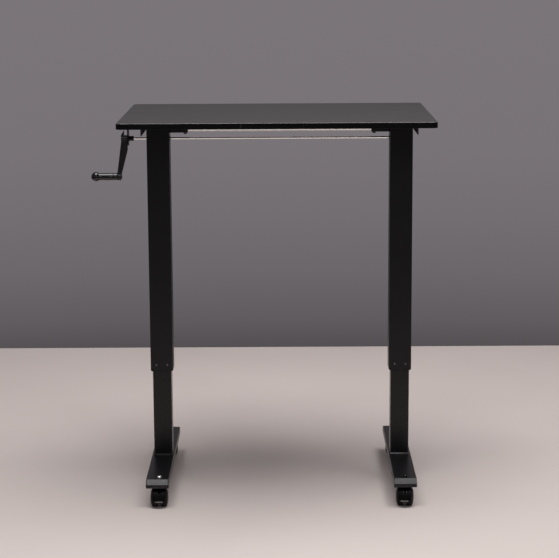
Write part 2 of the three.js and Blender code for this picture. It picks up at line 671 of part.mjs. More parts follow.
for (const [side, name] of [[-1, "left"], [1, "right"]]) {
  place(`${name}_side_arm`, sideArm(side), "powderCoat");
  place(`${name}_crossbeam_channel`, crossbeamChannel(side), "powderCoat");
  place(`${name}_clamp_screw`, clampScrew(side), "blackScrew");
  place(`${name}_outer_tube`, outerTube(side), "powderCoat");
  place(`${name}_gearbox_frame`, gearboxFrame(side), "darkSteel");
  place(`${name}_drive_bevel`, driveBevel(side), "darkSteel");
  place(`${name}_driven_bevel`, drivenBevel(side), "darkSteel");
  place(`${name}_lead_screw`, leadScrew(side), "polishedSteel");
  place(`${name}_lower_glide`, lowerGlide(side), "blackPlastic");
  place(`${name}_glide_screw_outer`, glideScrew(side, side), "blackScrew");
  place(`${name}_glide_screw_inner`, glideScrew(side, -side), "blackScrew");
  place(`${name}_inner_tube`, innerTube(side), "powderCoat");
  place(`${name}_upper_glide`, upperGlide(side), "naturalPlastic");
  place(`${name}_lead_nut`, leadNut(side), "naturalPlastic");
  place(`${name}_base_plate`, basePlate(side), "powderCoat");
  place(`${name}_foot_beam`, footBeam(side), "powderCoat");
  place(`${name}_front_end_cap`, footEndCap(side, -1), "blackPlastic");
  place(`${name}_rear_end_cap`, footEndCap(side, 1), "blackPlastic");
}

CASTERS.forEach(caster);

export default desk;
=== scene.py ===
import json
import math

import bmesh
import bpy
from mathutils import Matrix, Vector


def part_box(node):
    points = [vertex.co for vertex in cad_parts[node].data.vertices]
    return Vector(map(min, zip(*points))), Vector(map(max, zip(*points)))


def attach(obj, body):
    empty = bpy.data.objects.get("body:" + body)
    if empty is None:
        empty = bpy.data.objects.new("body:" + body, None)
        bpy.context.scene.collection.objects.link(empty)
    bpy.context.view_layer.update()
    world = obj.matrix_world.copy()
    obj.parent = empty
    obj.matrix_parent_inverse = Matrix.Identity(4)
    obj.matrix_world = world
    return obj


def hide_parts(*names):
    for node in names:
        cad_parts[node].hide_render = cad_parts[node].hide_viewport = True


# A crank-driven standing desk on four casters. Metres, +Z up, the user on the -Y side.

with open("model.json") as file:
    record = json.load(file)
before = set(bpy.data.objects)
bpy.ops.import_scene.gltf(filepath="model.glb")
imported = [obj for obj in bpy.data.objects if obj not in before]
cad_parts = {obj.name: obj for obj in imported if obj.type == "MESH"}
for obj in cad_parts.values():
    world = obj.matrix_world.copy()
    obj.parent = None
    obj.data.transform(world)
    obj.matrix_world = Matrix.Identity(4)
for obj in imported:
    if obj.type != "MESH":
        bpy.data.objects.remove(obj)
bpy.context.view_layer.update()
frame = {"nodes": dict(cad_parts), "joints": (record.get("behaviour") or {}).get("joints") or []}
nodes = frame["nodes"]
joints = {joint["name"]: joint for joint in frame["joints"]}
MM = 0.001
UP = Vector((0, 0, 1))
SIDES = {"left": -1, "right": 1}
CASTERS = ("front_left", "front_right", "rear_left", "rear_right")

CAMERA_LENS = 114.26
CAMERA_ASIDE = 0.00937  # from the middle plane between the columns
CAMERA_FORWARD = -4.9155
CAMERA_ABOVE_TOP = 0.4449
CAMERA_TURN = (-0.14, 10.53, 0.32)  # yaw, downward pitch and roll, in degrees

# The backdrop is grey and lightens upwards between two heights of the view direction.
BACKDROP_HEIGHTS = (-0.22, -0.02)
BACKDROP_TONES = ((0.0, 0.084), (0.08, 0.114), (0.21, 0.145), (0.37, 0.168), (0.55, 0.184), (1.0, 0.192))
BACKDROP_TINT = (1.03, 0.935, 1.0)
FLOOR_HALF = 1.711
FLOOR_CORNER = 0.6
FLOOR_HEIGHTS = (-0.03, -0.0002)

SHEET = 2 * MM  # folded steel of the arms and channels
SHEET_EDGE = 0.35 * MM
TUBE_WALL = 1.6 * MM
RAIL_CORNER = 7.5 * MM
FOOT_SLOPE = 12.5 * MM  # how far the slope at each end of a foot runs in and down
ARM_INNER_HALF = 0.04  # half the length of a side arm's inner flange


# ---- Camera, floor and light ----

def centre(node):
    low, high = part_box(node)
    return (Vector(low) + Vector(high)) / 2


def span(node):
    low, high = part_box(node)
    return Vector(low), Vector(high)


top_low, top_high = span("tabletop")
middle_x = (centre("left_outer_tube").x + centre("right_outer_tube").x) / 2


def add_camera():
    data = bpy.data.cameras.new("camera")
    data.sensor_width = 36
    data.lens = CAMERA_LENS
    data.dof.use_dof = False
    camera = bpy.data.objects.new("camera", data)
    bpy.context.scene.collection.objects.link(camera)
    camera.location = (middle_x + CAMERA_ASIDE, CAMERA_FORWARD, top_high.z + CAMERA_ABOVE_TOP)
    yaw, pitch, roll = (math.radians(a) for a in CAMERA_TURN)
    forward = Vector((math.cos(pitch) * math.sin(yaw), math.cos(pitch) * math.cos(yaw), -math.sin(pitch)))
    level = Vector((math.cos(yaw), -math.sin(yaw), 0))
    upright = level.cross(forward)
    right = math.cos(roll) * level - math.sin(roll) * upright
    up = math.sin(roll) * level + math.cos(roll) * upright
    camera.rotation_euler = Matrix((right, up, -forward)).transposed().to_euler()
    bpy.context.scene.camera = camera


def area_light(name, place, aim, size, power, colour=(1, 1, 1)):
    data = bpy.data.lights.new(name, "AREA")
    data.shape = "RECTANGLE"
    data.size, data.size_y = size
    data.energy = power
    data.color = colour
    light = bpy.data.objects.new(name, data)
    light.location = place
    light.rotation_euler = (Vector(aim) - Vector(place)).to_track_quat("-Z", "Y").to_euler()
    bpy.context.scene.collection.objects.link(light)


def add_light():
    scene = bpy.context.scene
    scene.view_settings.view_transform = "Standard"
    world = bpy.data.worlds.new("studio")
    world.use_nodes = True
    tree = world.node_tree
    background = tree.nodes["Background"]
    direction = tree.nodes.new("ShaderNodeTexCoord")
    split = tree.nodes.new("ShaderNodeSeparateXYZ")
    height = tree.nodes.new("ShaderNodeMapRange")
    ramp = tree.nodes.new("ShaderNodeValToRGB")
    tree.links.new(direction.outputs["Generated"], split.inputs["Vector"])
    tree.links.new(split.outputs["Z"], height.inputs["Value"])
    height.inputs["From Min"].default_value = BACKDROP_HEIGHTS[0]
    height.inputs["From Max"].default_value = BACKDROP_HEIGHTS[1]
    tree.links.new(height.outputs["Result"], ramp.inputs["Fac"])
    for i, (at, value) in enumerate(BACKDROP_TONES):
        stop = ramp.color_ramp.elements[i] if i < 2 else ramp.color_ramp.elements.new(at)
        stop.position = at
        stop.color = (*(part * value for part in BACKDROP_TINT), 1)
    tree.links.new(ramp.outputs["Color"], background.inputs["Color"])
    background.inputs["Strength"].default_value = 1.0
    scene.world = world
    area_light("overhead", (0.25, -0.45, 3.3), (0.2, -0.25, 0), (2.9, 2.0), 126, (1, 0.985, 0.965))
    area_light("front_fill", (0.5, -4.4, 3.2), (0, 0, 0.4), (2.6, 1.6), 24)


# ---- Mesh code ----

def new_piece(name, mesh, smooth_angle=35):
    mesh.validate()
    mesh.shade_smooth()
    mesh.set_sharp_from_angle(angle=math.radians(smooth_angle))
    piece = bpy.data.objects.new(name, mesh)
    bpy.context.scene.collection.objects.link(piece)
    return piece


def from_bmesh(name, bm, smooth_angle=35):
    bmesh.ops.recalc_face_normals(bm, faces=bm.faces)
    mesh = bpy.data.meshes.new(name)
    bm.to_mesh(mesh)
    bm.free()
    return new_piece(name, mesh, smooth_angle)


# The two coordinates across an axis, then the one along it.
ACROSS_AND_ALONG = {"x": (1, 2, 0), "y": (0, 2, 1), "z": (0, 1, 2)}


def spread(axis, u, v, t):
    """A point from two coordinates across an axis and one along it."""
    return {"x": (t, u, v), "y": (u, t, v), "z": (u, v, t)}[axis]


def loft(name, loops, ring=False, smooth_angle=35):
    """Skins matching closed loops of points. A ring joins its last loop to its first; others are capped."""
    bm = bmesh.new()
    rows = [[bm.verts.new(p) for p in loop] for loop in loops]
    count = len(rows[0])
    pairs = list(zip(rows, rows[1:])) + ([(rows[-1], rows[0])] if ring else [])
    for a, b in pairs:
        for i in range(count):
            j = (i + 1) % count
            bm.faces.new((a[i], a[j], b[j], b[i]))
    if not ring:
        bm.faces.new(rows[0])
        bm.faces.new(rows[-1])
    return from_bmesh(name, bm, smooth_angle)


def rounded(width, depth, radius, steps=6):
    """The points of a rounded rectangle round the origin."""
    points = []
    for sx, sy, start in ((1, 1, 0), (-1, 1, 90), (-1, -1, 180), (1, -1, 270)):
        for i in range(steps + 1):
            angle = math.radians(start + 90 * i / steps)
            points.append((sx * (width / 2 - radius) + radius * math.cos(angle),
                           sy * (depth / 2 - radius) + radius * math.sin(angle)))
    return points


def slab(name, low, high, corner, edge, axis="z", steps=6, edge_steps=3):
    """A plate with rounded corners across an axis and rounded edges along both of its faces."""
    low, high = Vector(low), Vector(high)
    pick = ACROSS_AND_ALONG[axis]
    w, d = high[pick[0]] - low[pick[0]], high[pick[1]] - low[pick[1]]
    cu, cv = (high[pick[0]] + low[pick[0]]) / 2, (high[pick[1]] + low[pick[1]]) / 2
    ends = []
    for i in range(edge_steps + 1):
        angle = math.pi / 2 * i / edge_steps
        ends.append((edge * (1 - math.sin(angle)), edge * (1 - math.cos(angle))))
    profile = [(inset, low[pick[2]] + rise) for inset, rise in ends]
    profile += [(inset, high[pick[2]] - rise) for inset, rise in reversed(ends)]
    loops = []
    for inset, t in profile:
        flat = rounded(w - 2 * inset, d - 2 * inset, max(corner - inset, 0.05 * MM), steps)
        loops.append([spread(axis, cu + u, cv + v, t) for u, v in flat])
    return loft(name, loops)


def tube(name, axis, middle, width, depth, corner, wall, start, end, lip=0.4 * MM, steps=6):
    """A rounded rectangular tube along an axis, with softened rims."""
    inner = max(corner - wall, 0.3 * MM)
    rings = [(0, lip, start), (0, 0, start + lip), (0, 0, end - lip), (0, lip, end),
             (1, -lip, end), (1, 0, end - lip), (1, 0, start + lip), (1, -lip, start)]
    loops = []
    for inside, inset, t in rings:
        cut_in = wall * inside + inset
        radius = inner if inside else corner
        flat = rounded(width - 2 * cut_in, depth - 2 * cut_in, max(radius - inset, 0.1 * MM), steps)
        loops.append([spread(axis, middle[0] + u, middle[1] + v, t) for u, v in flat])
    return loft(name, loops, ring=True)


def lathe(name, axis, middle, profile, segments=40, smooth_angle=35):
    """Spins (radius, place along the axis) pairs that start and end on the axis, or form a closed ring."""
    bm = bmesh.new()
    closed = profile[0][0] > 0
    rows = []
    for radius, t in profile:
        if radius == 0:
            rows.append([bm.verts.new(spread(axis, middle[0], middle[1], t))])
            continue
        row = []
        for i in range(segments):
            angle = 2 * math.pi * i / segments
            u, v = middle[0] + radius * math.cos(angle), middle[1] + radius * math.sin(angle)
            row.append(bm.verts.new(spread(axis, u, v, t)))
        rows.append(row)
    pairs = list(zip(rows, rows[1:])) + ([(rows[-1], rows[0])] if closed else [])
    for a, b in pairs:
        for i in range(segments):
            j = (i + 1) % segments
            corners = [a[i % len(a)], a[j % len(a)], b[j % len(b)], b[i % len(b)]]
            face = [c for k, c in enumerate(corners) if c not in corners[:k]]
            bm.faces.new(face)
    return from_bmesh(name, bm, smooth_angle)


def cylinder(name, axis, middle, radius, start, end, segments=40):
    return lathe(name, axis, middle, [(0, start), (radius, start), (radius, end), (0, end)], segments)


def extruded(name, axis, outline, start, end, edge=0.0, segments=3, sharp=28, smooth_angle=35):
    """A flat outline pushed along an axis, its edges rounded by a bevel."""
    bm = bmesh.new()
    rows = [[bm.verts.new(spread(axis, u, v, t)) for u, v in outline] for t in (start, end)]
    count = len(outline)
    for i in range(count):
        j = (i + 1) % count
        bm.faces.new((rows[0][i], rows[0][j], rows[1][j], rows[1][i]))
    bm.faces.new(rows[0])
    bm.faces.new(rows[1])
    bmesh.ops.recalc_face_normals(bm, faces=bm.faces)
    if edge:
        chosen = [e for e in bm.edges if e.calc_face_angle(0) > math.radians(sharp)]
        bmesh.ops.bevel(bm, geom=chosen, offset=edge, segments=segments, profile=0.5, affect="EDGES",
                        clamp_overlap=True)
    return from_bmesh(name, bm, smooth_angle)


def block(name, low, high, edge=0.0, segments=3):
    """A box from its lowest corner to its highest."""
    outline = [(low[0], low[1]), (high[0], low[1]), (high[0], high[1]), (low[0], high[1])]
    return extruded(name, "z", outline, low[2], high[2], edge, segments)


def boolean(piece, cutters, operation="DIFFERENCE", smooth_angle=35):
    for cutter in cutters:
        modifier = piece.modifiers.new("boolean", "BOOLEAN")
        modifier.operation = operation
        modifier.object = cutter
        modifier.solver = "EXACT"
    graph = bpy.context.evaluated_depsgraph_get()
    mesh = bpy.data.meshes.new_from_object(piece.evaluated_get(graph))
    piece.modifiers.clear()
    piece.data = mesh
    mesh.shade_smooth()
    mesh.set_sharp_from_angle(angle=math.radians(smooth_angle))
    for cutter in cutters:
        bpy.data.objects.remove(cutter)
    return piece


def merged(name, pieces):
    """Several pieces as one object."""
    bm = bmesh.new()
    for piece in pieces:
        bm.from_mesh(piece.data)
        bpy.data.objects.remove(piece)
    return from_bmesh(name, bm)


def seam(name, start, end, radius, ripple=0.16, pitch=2.2 * MM, sides=10):
    """A short weld bead between two points, tapered at both of its ends."""
    start, end = Vector(start), Vector(end)
    steps = max(8, round((end - start).length / (pitch / 4)))
    across = (end - start).normalized().cross(UP)
    loops = []
    for i in range(steps + 1):
        taper = min(1.0, 0.35 + 0.16 * min(i, steps - i))
        swell = radius * taper * (1 + ripple * math.sin(i * math.pi / 2 + 0.4 * math.sin(i * 0.37)))
        middle = start.lerp(end, i / steps)
        loop = []
        for k in range(sides):
            angle = k * 2 * math.pi / sides
            loop.append(middle + across * swell * math.cos(angle) + UP * swell * math.sin(angle))
        loops.append(loop)
    return loft(name, loops, smooth_angle=70)


def folded(path, thickness, radius, steps=6):
    """The outline of a folded sheet: a path of straight runs, bent round a radius at each inner corner."""
    line = [Vector(path[0])]
    for before, corner, after in zip(path, path[1:], path[2:]):
        before, corner, after = Vector(before), Vector(corner), Vector(after)
        a, b = (before - corner).normalized(), (after - corner).normalized()
        half = a.angle(b) / 2
        reach = radius / math.tan(half)
        hub = corner + (a + b).normalized() * radius / math.sin(half)
        first, last = corner + a * reach - hub, corner + b * reach - hub
        for i in range(steps + 1):
            line.append(hub + first.slerp(last, i / steps) * radius)
    line.append(Vector(path[-1]))
    sides = ([], [])
    for i, point in enumerate(line):
        along = (line[min(i + 1, len(line) - 1)] - line[max(i - 1, 0)]).normalized()
        normal = Vector((-along.y, along.x)) * thickness / 2
        sides[0].append(tuple(point + normal))
        sides[1].append(tuple(point - normal))
    return sides[0] + sides[1][::-1]


# ---- Materials ----

class Shader:
    """A small wrapper that makes nodes and joins them to a principled shader."""

    def __init__(self, name):
        self.material = bpy.data.materials.new(name)
        self.material.use_nodes = True
        self.tree = self.material.node_tree
        self.principled = self.tree.nodes["Principled BSDF"]
        self.object = self.add("ShaderNodeTexCoord").outputs["Object"]

    def add(self, kind, **values):
        node = self.tree.nodes.new(kind)
        for key, value in values.items():
            setattr(node, key, value)
        return node

    def link(self, output, node, socket):
        self.tree.links.new(output, node.inputs[socket])

    def set(self, **values):
        for key, value in values.items():
            self.principled.inputs[key.replace("_", " ")].default_value = value

    def noise(self, scale, detail=3.0, roughness=0.5, stretch=None, distortion=0.0):
        node = self.add("ShaderNodeTexNoise")
        node.inputs["Scale"].default_value = scale
        node.inputs["Detail"].default_value = detail
        node.inputs["Roughness"].default_value = roughness
        node.inputs["Distortion"].default_value = distortion
        if stretch:
            mapping = self.add("ShaderNodeMapping")
            mapping.inputs["Scale"].default_value = stretch
            self.link(self.object, mapping, "Vector")
            self.link(mapping.outputs["Vector"], node, "Vector")
        else:
            self.link(self.object, node, "Vector")
        return node.outputs["Fac"]

    def remap(self, value, low, high, to_low=0.0, to_high=1.0):
        node = self.add("ShaderNodeMapRange")
        limits = {"From Min": low, "From Max": high, "To Min": to_low, "To Max": to_high}
        for socket, number in limits.items():
            node.inputs[socket].default_value = number
        self.link(value, node, "Value")
        return node.outputs["Result"]

    def math(self, operation, a, b):
        node = self.add("ShaderNodeMath", operation=operation)
        for i, value in enumerate((a, b)):
            if isinstance(value, (int, float)):
                node.inputs[i].default_value = value
            else:
                self.tree.links.new(value, node.inputs[i])
        return node.outputs[0]

    def mix(self, factor, a, b):
        node = self.add("ShaderNodeMix", data_type="RGBA")
        self.tree.links.new(factor, node.inputs[0])
        for i, colour in ((6, a), (7, b)):
            if isinstance(colour, tuple):
                node.inputs[i].default_value = (*colour, 1)
            else:
                self.tree.links.new(colour, node.inputs[i])
        return node.outputs[2]

    def edges(self, radius):
        """1 on the outer edges and corners of a piece, 0 on its flats."""
        bevel = self.add("ShaderNodeBevel", samples=4)
        bevel.inputs["Radius"].default_value = radius
        geometry = self.add("ShaderNodeNewGeometry")
        dot = self.add("ShaderNodeVectorMath", operation="DOT_PRODUCT")
        self.tree.links.new(bevel.outputs["Normal"], dot.inputs[0])
        self.tree.links.new(geometry.outputs["Normal"], dot.inputs[1])
        return self.remap(dot.outputs["Value"], 0.995, 0.8)

    def axis(self, which):
        split = self.add("ShaderNodeSeparateXYZ")
        self.link(self.object, split, "Vector")
        return split.outputs[which]

    def colour(self, output):
        self.link(output, self.principled, "Base Color")

    def roughness(self, output):
        self.link(output, self.principled, "Roughness")

    def bump(self, height, distance, strength=1.0, before=None):
        node = self.add("ShaderNodeBump")
        node.inputs["Distance"].default_value = distance
        node.inputs["Strength"].default_value = strength
        self.link(height, node, "Height")
        if before:
            self.link(before, node, "Normal")
        self.link(node.outputs["Normal"], self.principled, "Normal")
        return node.outputs["Normal"]


def powder_coat(name, dark=(0.0022, 0.0021, 0.0024), light=(0.0034, 0.0032, 0.0037),
                rough=(0.34, 0.44), scuffs=0.0, shine=0.33):
    s = Shader(name)
    tone = s.noise(7.0, 4.0)
    base = s.mix(s.remap(tone, 0.35, 0.65), dark, light)
    # Edges lightened in patches: coat wear, and also a painted highlight along the edges.
    worn = s.math("MULTIPLY", s.edges(0.6 * MM), s.remap(s.noise(60.0, 5.0), 0.52, 0.68))
    base = s.mix(s.math("MULTIPLY", worn, 0.4), base, (0.045, 0.045, 0.047))
    finish = s.remap(s.noise(380.0, 3.0), 0.3, 0.7, *rough)
    if scuffs:
        streak = s.remap(s.noise(14.0, 6.0, 0.7, stretch=(30, 30, 0.6)), 0.62, 0.72)
        finish = s.math("SUBTRACT", finish, s.math("MULTIPLY", streak, scuffs))
    s.colour(base)
    s.roughness(finish)
    s.set(Specular_IOR_Level=shine)
    peel = s.bump(s.noise(900.0, 2.0), 0.05 * MM, 0.5)
    s.bump(s.noise(160.0, 2.0), 0.03 * MM, 0.35, before=peel)
    return s.material


def plastic(name, dark, light, rough=(0.42, 0.55), grain=1500.0, depth=0.03, coat=0.0, wear=0.0,
            shine=0.5):
    s = Shader(name)
    base = s.mix(s.remap(s.noise(22.0, 3.0), 0.3, 0.7), dark, light)
    if wear:
        worn = s.math("MULTIPLY", s.edges(0.5 * MM), s.remap(s.noise(120.0, 4.0), 0.45, 0.65))
        base = s.mix(s.math("MULTIPLY", worn, wear), base, (0.05, 0.05, 0.05))
    s.colour(base)
    s.roughness(s.remap(s.noise(90.0, 4.0), 0.3, 0.7, *rough))
    s.set(Coat_Weight=coat, Coat_Roughness=0.06, Specular_IOR_Level=shine)
    s.bump(s.noise(grain, 2.0), depth * MM, 0.5)
    return s.material


def steel(name, dark, light, rough, stretch, scale=30.0, streaks=0.02, spots=0.0, metal=1.0):
    s = Shader(name)
    brushed = s.noise(scale, 5.0, 0.65, stretch=stretch)
    base = s.mix(s.remap(brushed, 0.3, 0.7), dark, light)
    if spots:
        stain = s.remap(s.noise(45.0, 6.0, 0.6), 0.6, 0.72)
        base = s.mix(s.math("MULTIPLY", stain, spots), base, tuple(0.55 * c for c in dark))
    s.colour(base)
    s.roughness(s.remap(s.noise(scale * 1.7, 4.0, 0.6, stretch=stretch), 0.3, 0.7, *rough))
    s.set(Metallic=metal)
    s.bump(brushed, streaks * MM, 0.4)
    return s.material


def laminate():
    s = Shader("laminate")
    cloud = s.remap(s.noise(3.2, 5.0, 0.55), 0.3, 0.7)
    base = s.mix(cloud, (0.0180, 0.0165, 0.0180), (0.0205, 0.0188, 0.0205))
    fleck = s.remap(s.noise(650.0, 3.0), 0.6, 0.75)
    base = s.mix(s.math("MULTIPLY", fleck, 0.35), base, (0.036, 0.035, 0.038))
    s.colour(base)
    wiped = s.noise(5.0, 6.0, 0.6, stretch=(0.5, 1.6, 1), distortion=0.6)
    s.roughness(s.remap(wiped, 0.25, 0.75, 0.42, 0.5))
    s.bump(s.noise(1100.0, 2.0), 0.03 * MM, 0.4)
    return s.material


def edge_band():
    s = Shader("edge_band")
    tone = s.noise(9.0, 3.0, stretch=(1, 1, 6))
    base = s.mix(s.remap(tone, 0.3, 0.7), (0.0016, 0.0015, 0.0018), (0.0028, 0.0026, 0.0030))
    worn = s.math("MULTIPLY", s.edges(0.5 * MM), s.remap(s.noise(40.0, 5.0), 0.5, 0.7))
    base = s.mix(s.math("MULTIPLY", worn, 0.3), base, (0.05, 0.048, 0.05))
    for place, half, strength in ((middle_x - 0.1008, 1.5 * MM, 0.5), (middle_x + 0.0628, 0.6 * MM, 0.35)):
        off = s.math("ABSOLUTE", s.math("SUBTRACT", s.axis(0), place), 0.0)
        rub = s.math("MULTIPLY", s.remap(off, half, half * 0.5), strength)
        base = s.mix(rub, base, (0.055, 0.053, 0.055))
    s.colour(base)
    s.set(Specular_IOR_Level=0.12)
    s.roughness(s.remap(s.noise(70.0, 3.0), 0.3, 0.7, 0.38, 0.5))
    s.bump(s.noise(700.0, 2.0), 0.04 * MM, 0.4)
    return s.material


def pale_floor():
    s = Shader("pale_floor")
    s.colour(s.mix(s.remap(s.noise(1.4, 4.0), 0.3, 0.7), (0.595, 0.535, 0.510), (0.635, 0.570, 0.545)))
    s.roughness(s.remap(s.noise(4.0, 4.0), 0.3, 0.7, 0.55, 0.65))
    s.bump(s.noise(120.0, 3.0), 0.1 * MM, 0.2)
    return s.material


COAT = powder_coat("black_powder_coat")
SLIDING_COAT = powder_coat("black_powder_coat_sliding", rough=(0.24, 0.32), scuffs=0.08)
FOOT_COAT = powder_coat("black_powder_coat_foot", (0.0022, 0.0021, 0.0027), (0.0034, 0.0032, 0.0040),
                        rough=(0.30, 0.38), shine=0.38)
LAMINATE = laminate()
EDGE_BAND = edge_band()
# The tabletop's rounded upper edge: its lighter colour is a painted highlight, its lower roughness a real
# gloss.
ARRIS_HIGHLIGHT = plastic("laminate_arris_highlight", (0.060, 0.057, 0.061), (0.085, 0.080, 0.085), rough=(0.25, 0.35),
                shine=0.6)
ZINC = steel("bright_zinc", (0.80, 0.80, 0.79), (0.90, 0.90, 0.89), (0.16, 0.26), (0.5, 30, 30),
             spots=0.12, metal=0.8)
ROD_STEEL = steel("polished_steel", (0.84, 0.84, 0.82), (0.93, 0.93, 0.91), (0.10, 0.18),
                  (0.6, 40, 40), spots=0.08)
DARK_STEEL = steel("dark_steel", (0.09, 0.09, 0.095), (0.15, 0.15, 0.155), (0.32, 0.45), (8, 8, 1),
                   spots=0.4)
BLACK_OXIDE = steel("black_oxide", (0.018, 0.018, 0.019), (0.035, 0.035, 0.037), (0.28, 0.42), (6, 6, 6))
GREY_SCREW = steel("dull_screw", (0.10, 0.10, 0.105), (0.17, 0.17, 0.175), (0.30, 0.45), (6, 6, 6))
CHROME = steel("chrome", (0.88, 0.88, 0.88), (0.93, 0.93, 0.93), (0.05, 0.12), (1, 1, 1), streaks=0.004)
BLACK_PLASTIC = plastic("black_plastic", (0.0016, 0.0015, 0.0016), (0.0028, 0.0027, 0.0028), wear=0.2,
                        shine=0.08)
ARM_PLASTIC = plastic("crank_plastic", (0.0026, 0.0024, 0.0030), (0.0045, 0.0042, 0.0050),
                      rough=(0.36, 0.46), wear=0.3)
CAP_PLASTIC = plastic("end_cap_plastic", (0.0040, 0.0038, 0.0060), (0.0056, 0.0054, 0.0080),
                      rough=(0.25, 0.31), grain=900.0, depth=0.015, wear=0.1, shine=0.29)
GLOSS_PLASTIC = plastic("gloss_black_plastic", (0.0024, 0.0024, 0.0028), (0.0036, 0.0036, 0.0040),
                        rough=(0.10, 0.17), grain=250.0, depth=0.01, coat=0.8, shine=0.12)
NATURAL_PLASTIC = plastic("natural_plastic", (0.62, 0.60, 0.54), (0.70, 0.68, 0.62))
WHEEL_PLASTIC = plastic("wheel_plastic", (0.0036, 0.0035, 0.0037), (0.0058, 0.0057, 0.0059),
                        rough=(0.42, 0.55), wear=0.2, shine=0.16)
TREAD = plastic("wheel_tread", (0.006, 0.006, 0.006), (0.010, 0.0098, 0.0095), rough=(0.55, 0.7),
                grain=500, depth=0.06, shine=0.12)
# A painted highlight: the light grey that the right base plate's front edge gets in place of a glint.
PAINTED_GLINT = plastic("painted_glint_edge", (0.10, 0.10, 0.11), (0.30, 0.30, 0.32), rough=(0.3, 0.4),
                    grain=700.0, depth=0.02)
PALE_MARK = plastic("pale_edge", (0.15, 0.15, 0.15), (0.20, 0.20, 0.20), rough=(0.4, 0.5))


def dress(piece, body, slot, material, *replaced):
    piece.data.materials.clear()
    piece.data.materials.append(material)
    flats = piece.modifiers.new("weighted_normals", "WEIGHTED_NORMAL")
    flats.keep_sharp = True
    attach(piece, body)
    if replaced:
        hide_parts(*replaced)
    return piece


def paint_node(node, material):
    """A better material on a carried-over CAD node."""
    for place in nodes[node].material_slots:
        place.link = "OBJECT"
        place.material = material


# ---- Top and its frame ----

def build_tabletop():
    w, d = top_high.x - top_low.x, top_high.y - top_low.y
    mid = (top_low + top_high) / 2
    arris, corner = 1.3 * MM, 15 * MM
    turns = [math.pi / 2 * i / 4 for i in range(5)]
    rows = [(arris * (1 - math.sin(turn)), top_low.z + arris * (1 - math.cos(turn))) for turn in turns]
    rows += [(arris * (1 - math.cos(turn)), top_high.z - arris * (1 - math.sin(turn))) for turn in turns]
    loops = []
    for inward, z in rows:
        flat = rounded(w - 2 * inward, d - 2 * inward, corner - inward, 14)
        loops.append([(mid.x + u, mid.y + v, z) for u, v in flat])
    board = dress(loft("tabletop_board", loops, smooth_angle=50), "top_frame", "charcoal_laminate", LAMINATE,
                  "tabletop")
    board.data.materials.append(EDGE_BAND)
    board.data.materials.append(ARRIS_HIGHLIGHT)
    # Side faces get the edge band; the rounded upper edge gets the lighter arris colour, a painted
    # highlight.
    for face in board.data.polygons:
        if abs(face.normal.z) < 0.985:
            face.material_index = 2 if face.normal.z > 0.2 else 1


def pan_head(name, middle, radius, height, way=-1, axis="y"):
    """A pan-head screw with a cross recess. Its seat is at middle, and way is the sense it points in."""
    pick = ACROSS_AND_ALONG[axis]
    seat = middle[pick[2]]
    profile = [(0, seat), (radius * 0.97, seat), (radius, seat + way * height * 0.2)]
    for degrees in (25, 45, 65, 80):
        angle = math.radians(degrees)
        rise = height * (0.2 + 0.8 * math.sin(angle))
        profile.append((radius * math.cos(angle) ** 0.6, seat + way * rise))
    profile.append((0, seat + way * height))
    head = lathe(name, axis, (middle[pick[0]], middle[pick[1]]), profile, segments=24)
    cutters = []
    for turn in (0, 1):
        reach = (radius * 0.62, radius * 0.16)
        low, high = [0, 0, 0], [0, 0, 0]
        for k in (0, 1):
            size = reach[(k + turn) % 2]
            low[pick[k]], high[pick[k]] = middle[pick[k]] - size, middle[pick[k]] + size
        ends = sorted((seat + way * height * 0.35, seat + way * height * 1.5))
        low[pick[2]], high[pick[2]] = ends
        cutters.append(block(f"{name}_cut{turn}", low, high))
    return boolean(head, cutters)


def build_side_arm(side):
    name = f"{side}_side_arm"
    low, high = span(name)
    left, right, ridge = low.x + SHEET / 2, high.x - SHEET / 2, high.z - SHEET / 2
    outline = folded([(left, low.z), (left, ridge), (right, ridge), (right, low.z)], SHEET, 2.4 * MM)
    arm = extruded(name + "_sheet", "y", outline, low.y, high.y, SHEET_EDGE, 2, sharp=50)
    web = high.z - SHEET
    depth = SHEET + 0.02 * MM
    trim = (low.x - MM, low.x + depth) if side == "right" else (high.x - depth, high.x + MM)
    reaches = ((low.y - MM, -ARM_INNER_HALF), (ARM_INNER_HALF, high.y + MM))
    trims = [block("trim", (trim[0], a, low.z - MM), (trim[1], b, web)) for a, b in reaches]
    dress(boolean(arm, trims), "top_frame", "black_powder_coat", COAT, name)
    for i, y in enumerate((-0.205, -0.095, 0.095, 0.205)):
        x = (low.x + high.x) / 2 + (8 * MM if i % 2 else -8 * MM)
        screw = pan_head(f"{name}_wood_screw_{i + 1}", (x, y, web), 4 * MM, 2 * MM, -1, "z")
        dress(screw, "top_frame", "black_fastener", BLACK_OXIDE)


def hexagon(corner, u, v):
    """Six points round a middle; corner is the radius to a corner."""
    turns = [math.radians(60 * i) for i in range(6)]
    return [(u + corner * math.cos(turn), v + corner * math.sin(turn)) for turn in turns]


def build_clamp_screw(name):
    low, high = span(name)
    mid = (low + high) / 2
    r = (high.x - low.x) / 2
    top = low.z + 4.5 * MM
    shank = 2.6 * MM
    head = lathe(name, "z", (mid.x, mid.y), [
        (0, low.z), (r - 0.7 * MM, low.z), (r, low.z + 0.6 * MM), (r, top - 0.3 * MM), (r - 0.3 * MM, top),
        (shank, top), (shank, high.z - 0.6 * MM), (2 * MM, high.z), (0, high.z)], 36)
    key = extruded("socket", "z", hexagon(2.3 * MM, mid.x, mid.y), low.z - MM, low.z + 2.6 * MM)
    dress(boolean(head, [key]), "top_frame", "black_fastener", BLACK_OXIDE, name)


